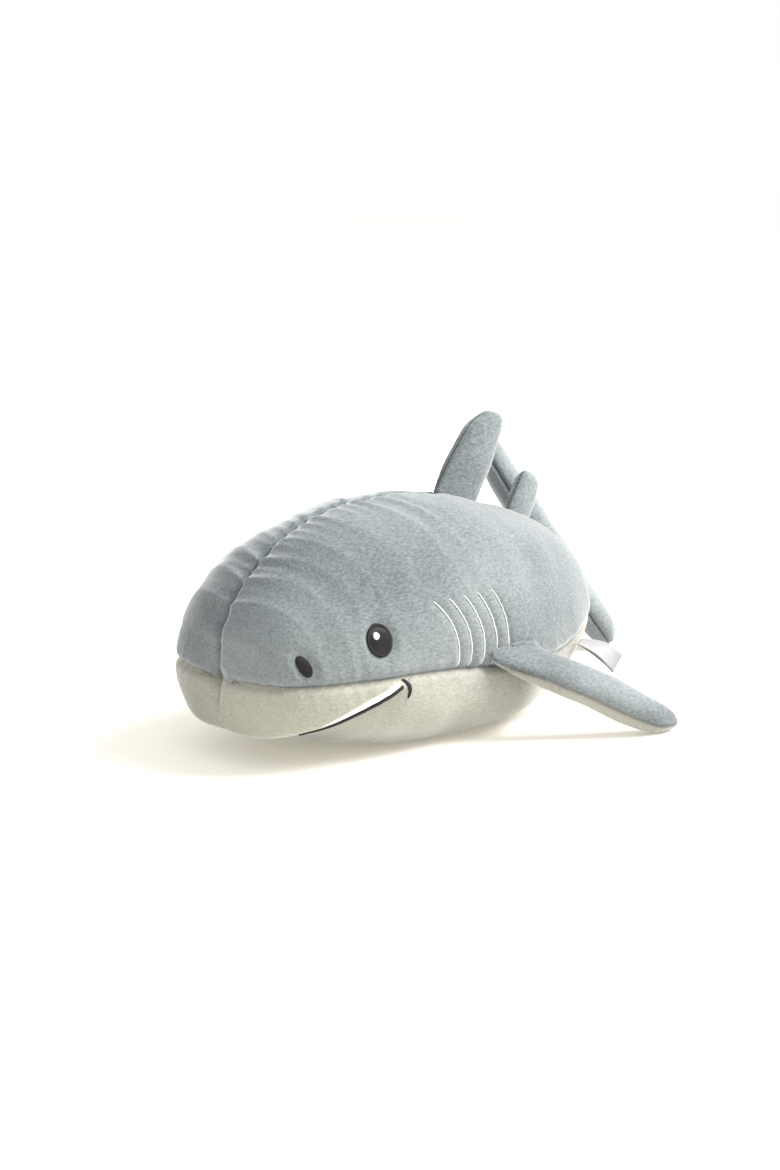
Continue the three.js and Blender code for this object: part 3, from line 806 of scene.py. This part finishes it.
DORSAL = dict(
    span=0.41 * HEIGHT, root_chord=0.135 * LENGTH, tip_chord=0.08 * LENGTH,
    root_thick=18 * MM, tip_thick=12 * MM, tip_round=14 * MM, sweep=0.072 * LENGTH, power=1.3)
REAR_DORSAL = dict(
    span=0.235 * HEIGHT, root_chord=0.1 * LENGTH, tip_chord=0.07 * LENGTH,
    root_thick=13 * MM, tip_thick=9 * MM, tip_round=7 * MM, sweep=0.02 * LENGTH, power=1.2)
PECTORAL = dict(
    span=0.96 * HALF_WIDTH, root_chord=0.13 * LENGTH, tip_chord=0.08 * LENGTH,
    root_thick=18 * MM, tip_thick=17 * MM, tip_round=13 * MM, sweep=0.22 * LENGTH, power=1.1)
PECTORAL_TIP_Z = 2.4 * MM

FLUKE_UPPER = 0.72 * HEIGHT
FLUKE_LOWER = 0.52 * HEIGHT
FLUKE_CHORD = 0.14 * LENGTH
FLUKE_THICK = 24 * MM
FLUKE_SWEEP = 0.085 * LENGTH
FLUKE_TIP_ROUND = 16 * MM
FLUKE_ROLL = math.radians(-35)
FLUKE_YAW = math.radians(16)


def lerp(a, b, share):
    return a + (b - a) * share


def tip_rounding(to_tip, size):
    return np.sqrt(1 - (1 - np.clip(to_tip / size, 0, 1)) ** 2)


def fin_points(fin, turn, around):
    """A fin standing along Z from where it is sewn in, its chord along Y and its thickness along X."""
    distance = -FIN_TUCK + (fin["span"] + FIN_TUCK) * (1 - np.cos(turn)) / 2
    share = np.clip(distance / fin["span"], 0, 1)
    rounding = tip_rounding(fin["span"] - distance, fin["tip_round"])
    pinch = lerp(0.4, 1, smoothstep(-0.3 * fin["root_thick"], 1.5 * fin["root_thick"], distance))
    half_chord = lerp(fin["root_chord"], fin["tip_chord"], share ** 1.5) / 2 * rounding ** TIP_BLUNTNESS
    half_thick = lerp(fin["root_thick"], fin["tip_thick"], share) / 2 * rounding * pinch
    middle = fin["sweep"] * share ** fin["power"]
    return fin_ring(half_thick, middle, half_chord, distance - fin["root_thick"] / 2, around)


def fin_ring(half_thick, middle, half_chord, height, around):
    """One ring of a fin, blunter at its front and back edges than an oval."""
    power = 2 / FIN_ROUNDNESS
    x = half_thick * np.sign(np.cos(around)) * np.abs(np.cos(around)) ** power
    y = middle + half_chord * np.sign(np.sin(around)) * np.abs(np.sin(around)) ** power
    return np.stack([x, y, np.broadcast_to(height, x.shape)], -1)


def fluke_points(turn, around):
    """The tail fin: its upper lobe rises along Z and its lower lobe hangs below."""
    span = FLUKE_UPPER + FLUKE_LOWER
    distance = span * (1 - np.cos(turn)) / 2
    height = distance - FLUKE_LOWER
    reach = np.where(height > 0, height / FLUKE_UPPER, -height / FLUKE_LOWER)
    rounding = tip_rounding(distance, FLUKE_TIP_ROUND) * tip_rounding(span - distance, FLUKE_TIP_ROUND)
    half_chord = lerp(FLUKE_CHORD, 0.65 * FLUKE_CHORD, reach ** 1.5) / 2 * np.sqrt(rounding)
    half_thick = lerp(FLUKE_THICK, 0.75 * FLUKE_THICK, reach) / 2 * rounding
    middle = (FLUKE_CHORD - FLUKE_THICK) / 2 + FLUKE_SWEEP * reach ** 1.4
    return fin_ring(half_thick, middle, half_chord, height, around)


def fin_skin(name, place, rings=FIN_RINGS, around=FIN_AROUND, first_turn=0.1):
    """A closed skin: rings of points given by place, between two end points."""
    turns = np.linspace(first_turn, math.pi - 0.1, rings)
    points = place(turns[:, None], crowded(around)[None, :]).reshape(-1, 3)
    ends = [place(np.array([[turn]]), np.array([[0.0]])).reshape(3) for turn in (0.0, math.pi)]
    for end, ring in zip(ends, (points[:around], points[-around:])):
        end[:2] = ring[:, :2].mean(0)
    return make_object(name, np.vstack([points, ends]), ringed_faces(rings, around))


def rim_line(points, rim):
    """How far the rim seam lies to one side at each point: on the middle where the fin is sewn in."""
    low = points[:, 2].min() + FIN_TUCK
    return rim * smoothstep(low, low + 24 * MM, points[:, 2])


def fin_relief(points, thick, seed, rim):
    """The rim seam pulls in, and soft puckers run in from it."""
    side = np.abs(points[:, 0] - rim_line(points, rim))
    run = np.linalg.norm(points[:, 1:] - points[:, 1:].mean(0), axis=1)
    turn = np.arctan2(points[:, 2] - points[:, 2].mean(), points[:, 1] - points[:, 1].mean())
    relief = -1.1 * MM * bell(side, 1.5 * MM)
    relief += 0.35 * MM * ridged(run + 0.04 * turn, 7 * MM, seed) * np.exp(-side / (0.25 * thick))
    relief += 0.55 * MM * wave(points, 22 * MM, seed + 3)
    return relief * smoothstep(0, 7 * MM, points[:, 2].max() - points[:, 2])


def sewn_fin(name, place, thick, seed, rim):
    """A stuffed fin, still whole and in its own frame."""
    piece = fin_skin(name, place)
    held = on_columns(FIN_RINGS, FIN_AROUND, (FIN_AROUND // 4, 3 * FIN_AROUND // 4))
    held[:2 * FIN_AROUND] = True
    stuffed(piece, held, FIN_SWELL)
    subdivided(piece)
    points = read_points(piece)
    points += read_normals(piece) * fin_relief(points, thick, seed, rim)[:, None]
    write_points(piece, points)
    return piece


def placed(piece, matrix):
    """Moves the mesh into place, and turns its faces back round where the matrix mirrors it."""
    piece.data.transform(matrix)
    if matrix.determinant() < 0:
        piece.data.flip_normals()
    piece.data.update()
    return piece


def fin_stuffing(name, place):
    """The fibre in a fin: the same form, thinner and shorter."""
    piece = fin_skin(name, place, FIN_STUFFING_RINGS, FIN_STUFFING_AROUND, first_turn=0.3)
    points = read_points(piece)
    rings = points[:-2].reshape(FIN_STUFFING_RINGS, FIN_STUFFING_AROUND, 3)
    middles = rings.mean(1)[:, None, :]
    rings = middles + (rings - middles) * np.array([FIN_STUFFING_SLIM, 0.8, 1])
    low, high = points[:, 2].min(), points[:, 2].max()
    points[:-2] = rings.reshape(-1, 3)
    points[:, 2] = lerp(low + 2 * MM, high - 4 * MM, (points[:, 2] - low) / (high - low))
    write_points(piece, points)
    return piece


def bowed(piece, height, low, high):
    """Arches a fin along its span, between two heights in its own frame."""
    points = read_points(piece)
    share = np.clip((points[:, 2] - low) / (high - low), 0, 1)
    points[:, 0] -= height * np.sin(math.pi * share)
    write_points(piece, points)
    return piece


def fin_covers(name, place, thick, seed, matrix, bend, covers, fill_node, rim=0.0, bow=0.0):
    """Parts a stuffed fin at its rim seam into the two covers, each with its finish and node."""
    whole = sewn_fin(name + "_form", place, thick, seed, rim)
    height = read_points(whole)[:, 2]
    span = height.min() + FIN_TUCK, height.max()
    centres = face_centres(whole)
    left = centres[:, 0] > rim_line(centres, rim)
    for keep, (cover, material, node) in zip((left, ~left), covers):
        piece = part_of(whole, cover, keep)
        points = read_points(piece)
        shown = smoothstep(span[0], span[0] + 10 * MM, points[:, 2]) if bend[0] == "body" else 1
        # Painted shade along the rim seam, together with its dark stitching.
        mark(piece, "seam", bell(points[:, 0] - rim_line(points, rim), SEAM_SHADE_LINE) * shown)
        piece = placed(bowed(thickened(piece), bow, *span), matrix)
        dressed(piece, material, node, bend)
    bpy.data.objects.remove(whole)
    fibre = placed(bowed(fin_stuffing(name + "_stuffing", place), bow, *span), matrix)
    dressed(fibre, FIBRE, fill_node, bend)


def fin_frame(origin, chord_axis, up):
    """A matrix that stands a fin's own X, Y and Z along its thickness, chord and span."""
    across = chord_axis.cross(up).normalized()
    up = across.cross(chord_axis)
    turned = Matrix((across, chord_axis, up)).transposed().to_4x4()
    return Matrix.Translation(origin) @ turned


def bend_from_skin(body, matrix, fin):
    """The stretch of a fin's cover between the body's skin and a little way out from its root, as two body
    names and its end points.
    """
    skin = matrix @ Vector((0, 0, -fin["root_thick"] / 2 - HINGE_GAP))
    out = matrix @ Vector((0, 0, FIN_BEND - fin["root_thick"] / 2 - HINGE_GAP))
    return "body", body, skin, out


def back_fins():
    for body, fin, seed in (("dorsal", DORSAL, 11), ("rear_dorsal", REAR_DORSAL, 12)):
        matrix = fin_frame(HINGES[body], AXES[body], Vector((0, 0, 1)))
        covers = [
            (body + "_cover_left", GREY, body + "_panel_left"),
            (body + "_cover_right", GREY, body + "_panel_right"),
        ]

        def place(turn, around, fin=fin):
            return fin_points(fin, turn, around)

        bend = bend_from_skin(body, matrix, fin)
        fin_covers(body, place, fin["root_thick"], seed, matrix, bend, covers, body + "_fill")


def side_fins():
    hinge = HINGES["left_pectoral"]
    thick = PECTORAL["root_thick"]
    droop = math.asin((hinge.z - PECTORAL_TIP_Z) / (PECTORAL["span"] - thick / 2))
    mirror = Matrix.Scale(-1, 4, (1, 0, 0))

    def place(turn, around):
        return fin_points(PECTORAL, turn, around)

    for side, flip in (("left", Matrix.Identity(4)), ("right", mirror)):
        body = side + "_pectoral"
        matrix = flip @ Matrix.Translation(hinge) @ Matrix.Rotation(math.pi / 2 + droop, 4, "Y")
        covers = [
            (body + "_cover_below", CREAM, body + "_underside"),
            (body + "_cover_above", GREY, body + "_top"),
        ]
        bend = bend_from_skin(body, matrix, PECTORAL)
        fill_node = body + "_fill"
        fin_covers(body, place, thick, 21, matrix, bend, covers, fill_node, SIDE_FIN_RIM, SIDE_FIN_BOW)


def tail_fin():
    origin = HINGES["fluke"]
    tilted = Matrix.Rotation(FLUKE_ROLL, 4, "Y") @ Matrix.Rotation(FLUKE_YAW, 4, "Z")
    matrix = Matrix.Translation(origin) @ Matrix.Rotation(curl_angle(origin), 4, "Z") @ tilted
    start = matrix @ Vector((0, -FLUKE_THICK / 2, 0))
    end = matrix @ Vector((0, 0.3 * FLUKE_THICK, 0))
    covers = [
        ("fluke_cover_left", GREY, "fluke_panel_left"),
        ("fluke_cover_right", GREY, "fluke_panel_right"),
    ]
    bend = ("tail", "fluke", start, end)
    fin_covers("fluke", fluke_points, FLUKE_THICK, 31, matrix, bend, covers, "fluke_fill")


# ---------------------------------------------------------------- embroidery
THREAD = 0.5 * MM
GILL_THREAD = 0.54 * MM
SATIN_STEP = 0.42 * MM            # from one satin stitch to the next
MOUTH_WIDTH = 2.1 * MM
MOUTH_LIFT = 0.8 * MM
SMILE_WIDTH = 2.9 * MM
GLINT_OFFSET = np.array([-0.3, 0.3])    # in shares of the eye's half width and half height
GLINT_SIZE = np.array([1.8, 2.3]) * MM
GLINT_TILT = 0.3
BORDER_STITCHES = 84              # round the eye
GILL_STITCH = 2.6 * MM
GILL_WIDTH = 0.55 * MM


def thread_tree():
    """Geometry nodes that turn joined points into round threads."""
    tree = bpy.data.node_groups.new("sewn_threads", "GeometryNodeTree")
    inputs = {"Geometry": "Geometry", "Thickness": "Float", "Sides": "Int", "Finish": "Material"}
    for name, kind in inputs.items():
        tree.interface.new_socket(name, in_out="INPUT", socket_type="NodeSocket" + kind)
    tree.interface.new_socket("Geometry", in_out="OUTPUT", socket_type="NodeSocketGeometry")
    given = tree.nodes.new("NodeGroupInput")
    result = tree.nodes.new("NodeGroupOutput")
    lines = tree.nodes.new("GeometryNodeMeshToCurve")
    half = tree.nodes.new("ShaderNodeMath")
    half.operation = "MULTIPLY"
    half.inputs[1].default_value = 0.5
    circle = tree.nodes.new("GeometryNodeCurvePrimitiveCircle")
    tube = tree.nodes.new("GeometryNodeCurveToMesh")
    tube.inputs["Fill Caps"].default_value = True
    smooth = tree.nodes.new("GeometryNodeSetShadeSmooth")
    finish = tree.nodes.new("GeometryNodeSetMaterial")
    realize = tree.nodes.new("GeometryNodeRealizeInstances")
    join = tree.links.new
    join(given.outputs["Geometry"], lines.inputs[0])
    join(given.outputs["Thickness"], half.inputs[0])
    join(half.outputs[0], circle.inputs["Radius"])
    join(given.outputs["Sides"], circle.inputs["Resolution"])
    join(lines.outputs[0], tube.inputs["Curve"])
    join(circle.outputs["Curve"], tube.inputs["Profile Curve"])
    join(tube.outputs[0], smooth.inputs[0])
    join(smooth.outputs[0], finish.inputs["Geometry"])
    join(given.outputs["Finish"], finish.inputs["Material"])
    join(finish.outputs[0], realize.inputs[0])
    join(realize.outputs[0], result.inputs[0])
    return tree


def threads(name, lines, tree, material, node, thickness=THREAD):
    """One piece of embroidery made of many short threads."""
    points = np.vstack(lines)
    mesh = bpy.data.meshes.new(name)
    edges = []
    start = 0
    for line in lines:
        edges += [(start + i, start + i + 1) for i in range(len(line) - 1)]
        start += len(line)
    mesh.from_pydata([tuple(p) for p in curl(points)], edges, [])
    piece = add_object(name, mesh)
    modifier = piece.modifiers.new("Threads", "NODES")
    modifier.node_group = tree
    settings = {"Thickness": thickness, "Sides": 6, "Finish": material}
    for item in tree.interface.items_tree:
        if item.in_out == "INPUT" and item.name in settings:
            modifier[item.identifier] = settings[item.name]
    finished(piece, ["Threads"])
    dressed(piece, material, node, "body")


class Skin:
    """Finds places on one side of the sewn body, looking at it from that side."""

    def __init__(self, whole, side):
        mesh = whole.data
        points = [Vector(p) for p in read_points(whole)]
        self.tree = BVHTree.FromPolygons(points, [tuple(f.vertices) for f in mesh.polygons])
        self.side = side

    def lay(self, yz, lift):
        """Points on the skin at each (y, z), lifted off it."""
        laid = []
        for (y, z), up in zip(yz, np.broadcast_to(lift, len(yz))):
            outside = Vector((self.side * 2 * HALF_WIDTH, y, z))
            spot, normal, _, _ = self.tree.ray_cast(outside, Vector((-self.side, 0, 0)))
            laid.append(np.array(spot + normal * float(up)))
        return np.array(laid)


def arched(count, height):
    """Heights along one stitch: its ends go down into the fabric."""
    t = np.linspace(-1, 1, count)
    return height * (1 - np.abs(t) ** 6) - 0.5 * MM * np.abs(t) ** 6


def satin_oval(skin, centre, size, tilt, dome, lift):
    """Side by side stitches that fill an oval."""
    turned = np.array(Matrix.Rotation(tilt, 2))
    rows = np.arange(-size[0] + SATIN_STEP / 2, size[0], SATIN_STEP)
    lines = []
    for u in rows:
        reach = size[1] * math.sqrt(1 - (u / size[0]) ** 2)
        v = np.linspace(-reach, reach, 11)
        swell = dome * np.sqrt(np.clip(1 - (u / size[0]) ** 2 - (v / size[1]) ** 2, 0, 1))
        yz = centre + np.stack([np.full(11, u), v], 1) @ turned.T
        lines.append(skin.lay(yz, arched(11, lift) + swell))
    return lines


def satin_border(skin, centre, size, count):
    """Short stitches set round an oval like spokes."""
    lines = []
    for angle in np.arange(count) / count * 2 * math.pi:
        spoke = np.array([math.cos(angle + 0.06), math.sin(angle + 0.06)])
        foot = np.array([math.cos(angle), math.sin(angle)])
        t = np.linspace(0, 1, 5)[:, None]
        yz = centre + size * (foot * 0.84 * (1 - t) + spoke * 1.1 * t)
        lines.append(skin.lay(yz, arched(5, 0.75 * MM)))
    return lines


def distances(path):
    """How far along a path each of its points lies."""
    return np.concatenate([[0], np.cumsum(np.linalg.norm(np.diff(path, axis=0), axis=1))])


def on_path(path, along, place):
    """The point of a path at a distance along it, or the points at several."""
    return np.stack([np.interp(place, along, path[:, k]) for k in (0, 1)], -1)


def satin_band(skin, path, width_at, lift=0.55 * MM):
    """Stitches laid slantwise across a path, as wide as width_at says along it."""
    along = distances(path)
    lines = []
    for place in np.arange(0, along[-1], SATIN_STEP):
        ahead = on_path(path, along, place + 0.5 * MM)
        behind = on_path(path, along, place - 0.5 * MM)
        forward = (ahead - behind) / np.linalg.norm(ahead - behind)
        across = np.array([-forward[1], forward[0]]) + 0.45 * forward
        t = np.linspace(-0.5, 0.5, 5)[:, None] * width_at(place / along[-1])
        lines.append(skin.lay(on_path(path, along, place) + across * t, arched(5, lift)))
    return lines


def stem_stitches(skin, path):
    """A line of long stitches, each starting beside the last one's middle."""
    along = distances(path)
    lines = []
    for place in np.arange(0, along[-1] - 0.6 * GILL_STITCH, 0.55 * GILL_STITCH):
        spots = np.linspace(place, min(place + GILL_STITCH, along[-1]), 6)
        yz = on_path(path, along, spots)
        yz[:, 0] += np.linspace(-0.5, 0.5, 6) * GILL_WIDTH
        lines.append(skin.lay(yz, arched(6, 0.28 * MM)))
    return lines


def mouth_path():
    y = np.linspace(MOUTH_FRONT[0], MOUTH_CORNER[0], 40)
    return np.stack([y, mouth_height(y)], 1)


def corner_path():
    """The short crescent that ends the mouth."""
    top = MOUTH_CORNER + np.array([1.4, 3.4]) * MM
    foot = MOUTH_CORNER + np.array([4.4, -6.8]) * MM
    return bowed_line(top, foot, 2.6 * MM, 14)


def mouth_width(share):
    """The mouth line widens a little over its first fifth, from the chin."""
    return MOUTH_WIDTH * (0.7 + 0.3 * min(1.0, 5 * share))


def smile_width(share):
    return SMILE_WIDTH * math.sin(math.pi * (0.12 + 0.8 * share))


def embroidery(whole):
    tree = thread_tree()
    for side, sign in (("left", 1), ("right", -1)):
        skin = Skin(whole, sign)
        eye = satin_oval(skin, EYE, EYE_SIZE, 0.0, 0.9 * MM, 0.3 * MM)
        eye += satin_border(skin, EYE, EYE_SIZE, BORDER_STITCHES)
        glint_at = EYE + EYE_SIZE * GLINT_OFFSET
        glint = satin_oval(skin, glint_at, GLINT_SIZE, GLINT_TILT, 0.3 * MM, 1.35 * MM)
        nostril = satin_oval(skin, NOSTRIL, NOSTRIL_SIZE, NOSTRIL_TILT, 0.5 * MM, 0.35 * MM)
        mouth = satin_band(skin, mouth_path(), mouth_width, MOUTH_LIFT)
        smile = satin_band(skin, corner_path(), smile_width)
        for name, lines, material, node in (
            ("eye", eye, BLACK_THREAD, "eye"),
            ("glint", glint, WHITE_THREAD, "eye_glint"),
            ("nostril", nostril, BLACK_THREAD, "nostril"),
            ("mouth", mouth, BLACK_THREAD, "mouth_line"),
            ("smile", smile, BLACK_THREAD, "mouth_corner"),
        ):
            threads(f"{name}_stitches_{side}", lines, tree, material, f"{node}_{side}")
        for row in range(GILL_COUNT):
            gill = stem_stitches(skin, gill_line(row, 24))
            node = f"gill_stitch_{row + 1}_{side}"
            threads(f"gill_thread_{row + 1}_{side}", gill, tree, WHITE_THREAD, node, GILL_THREAD)


# ---------------------------------------------------------------- label
LABEL_LENGTH = 25 * MM
LABEL_WIDTH = 13 * MM
LABEL_DROOP = math.radians(25)
LABEL_SWEEP = math.radians(20)
LABEL_TWIST = math.radians(50)    # how far the ribbon has turned over toward the nose at its end
RIBBON = 0.28 * MM


def label_profile():
    """The ribbon's run seen from its edge: out, round its fold, and back underneath."""
    t = np.linspace(0, 1, 26)
    out = LABEL_LENGTH * t
    rise = LABEL_LENGTH * (0.5 * 0.56 * t * (1 - t) - 0.04 * t * t)
    fold = 0.32 * MM + 0.9 * MM * np.sin(math.pi * t) ** 2
    upper = np.stack([out, rise + fold * 0.5], 1)
    lower = np.stack([out, rise - fold * 0.5], 1)
    turn = np.linspace(0.35, math.pi - 0.35, 5)
    nib = np.stack([LABEL_LENGTH + 0.3 * MM * np.sin(turn), rise[-1] + 0.16 * MM * np.cos(turn)], 1)
    return np.vstack([upper, nib, lower[::-1]])


def sewn_label():
    profile = label_profile()
    across = np.linspace(-0.5, 0.5, 12)
    points = []
    for x, z in profile:
        share = x / LABEL_LENGTH
        twist = LABEL_TWIST * share
        for w in across:
            y = w * LABEL_WIDTH * math.cos(twist)
            lift = w * LABEL_WIDTH * math.sin(twist) + 0.5 * MM * math.cos(2.2 * w) * share
            points.append((x - 1.5 * MM, y, z + lift))
    faces = []
    for i in range(len(profile) - 1):
        for k in range(len(across) - 1):
            a = i * len(across) + k
            faces.append((a, a + len(across), a + len(across) + 1, a + 1))
    piece = make_object("sewn_label", points, faces)
    hinge = HINGES["label"]
    turned = Matrix.Rotation(curl_angle(hinge) + LABEL_SWEEP, 4, "Z") @ Matrix.Rotation(LABEL_DROOP, 4, "Y")
    piece.data.transform(Matrix.Translation(hinge) @ turned)
    thickened(piece, RIBBON, 0)
    dressed(piece, SATIN, "label", "label")


# ---------------------------------------------------------------- camera, light and floor
VIEW_AZIMUTH = 50                 # degrees round from the front of the shark
VIEW_ELEVATION = 15
VIEW_DISTANCE = 1.15
VIEW_LENS = 67.2


def look_from(azimuth, elevation):
    a, e = math.radians(azimuth), math.radians(elevation)
    back = Vector((math.sin(a) * math.cos(e), -math.cos(a) * math.cos(e), math.sin(e)))
    right = Vector((math.cos(a), math.sin(a), 0))
    return right, back.cross(right), back


def add_camera():
    """Looks from the side of the nose, which lies left of and below the middle of the view."""
    right, up, back = look_from(VIEW_AZIMUTH, VIEW_ELEVATION)
    nose = Vector((0, NOSE_Y, 0.36 * HEIGHT))
    data = bpy.data.cameras.new("camera")
    data.lens = VIEW_LENS
    camera = add_object("camera", data)
    camera.location = nose + back * VIEW_DISTANCE
    aim = -back + right * 0.081 + up * 0.042
    camera.rotation_euler = aim.to_track_quat("-Z", "Y").to_euler()
    bpy.context.scene.camera = camera


def add_light(name, place, target, size, power, colour):
    data = bpy.data.lights.new(name, "AREA")
    data.shape = "SQUARE"
    data.size = size
    data.energy = power
    data.color = colour
    light = add_object(name, data)
    light.location = place
    light.rotation_euler = (Vector(target) - Vector(place)).to_track_quat("-Z", "Y").to_euler()


def add_studio():
    """One broad light behind the shark's left side, an even glow all round and a pale floor."""
    add_light("window_light", (0.95, 1.15, 1.5), (0, 0, 0.05), 1.2, 104, (1.0, 0.98, 0.94))
    world = bpy.data.worlds.new("studio")
    bpy.context.scene.world = world
    world.use_nodes = True
    glow = world.node_tree.nodes["Background"].inputs
    glow["Color"].default_value = (1.0, 0.998, 0.99, 1)
    glow["Strength"].default_value = 1.02
    floor = make_object("floor", [(-4, -4, 0), (4, -4, 0), (4, 4, 0), (-4, 4, 0)], [(0, 1, 2, 3)])
    finish = Finish("floor_paper")
    grain = finish.speckle(3, (1, 1, 1), 2.0)
    finish.set(
        Base_Color=finish.mix(grain, (0.76, 0.745, 0.71, 1), (0.78, 0.765, 0.73, 1)),
        Roughness=0.8,
        # The floor glows faintly: painted light that keeps the shadows on it soft and warm.
        Emission_Color=(0.27, 0.255, 0.21, 1),
        Emission_Strength=1.0,
    )
    floor.data.materials.append(finish.material)


add_camera()
add_studio()
bpy.context.scene.view_settings.view_transform = "Standard"

whole_body = sewn_body()
embroidery(whole_body)
body_covers(whole_body)
bpy.data.objects.remove(whole_body)
body_stuffing()
back_fins()
side_fins()
tail_fin()
sewn_label()
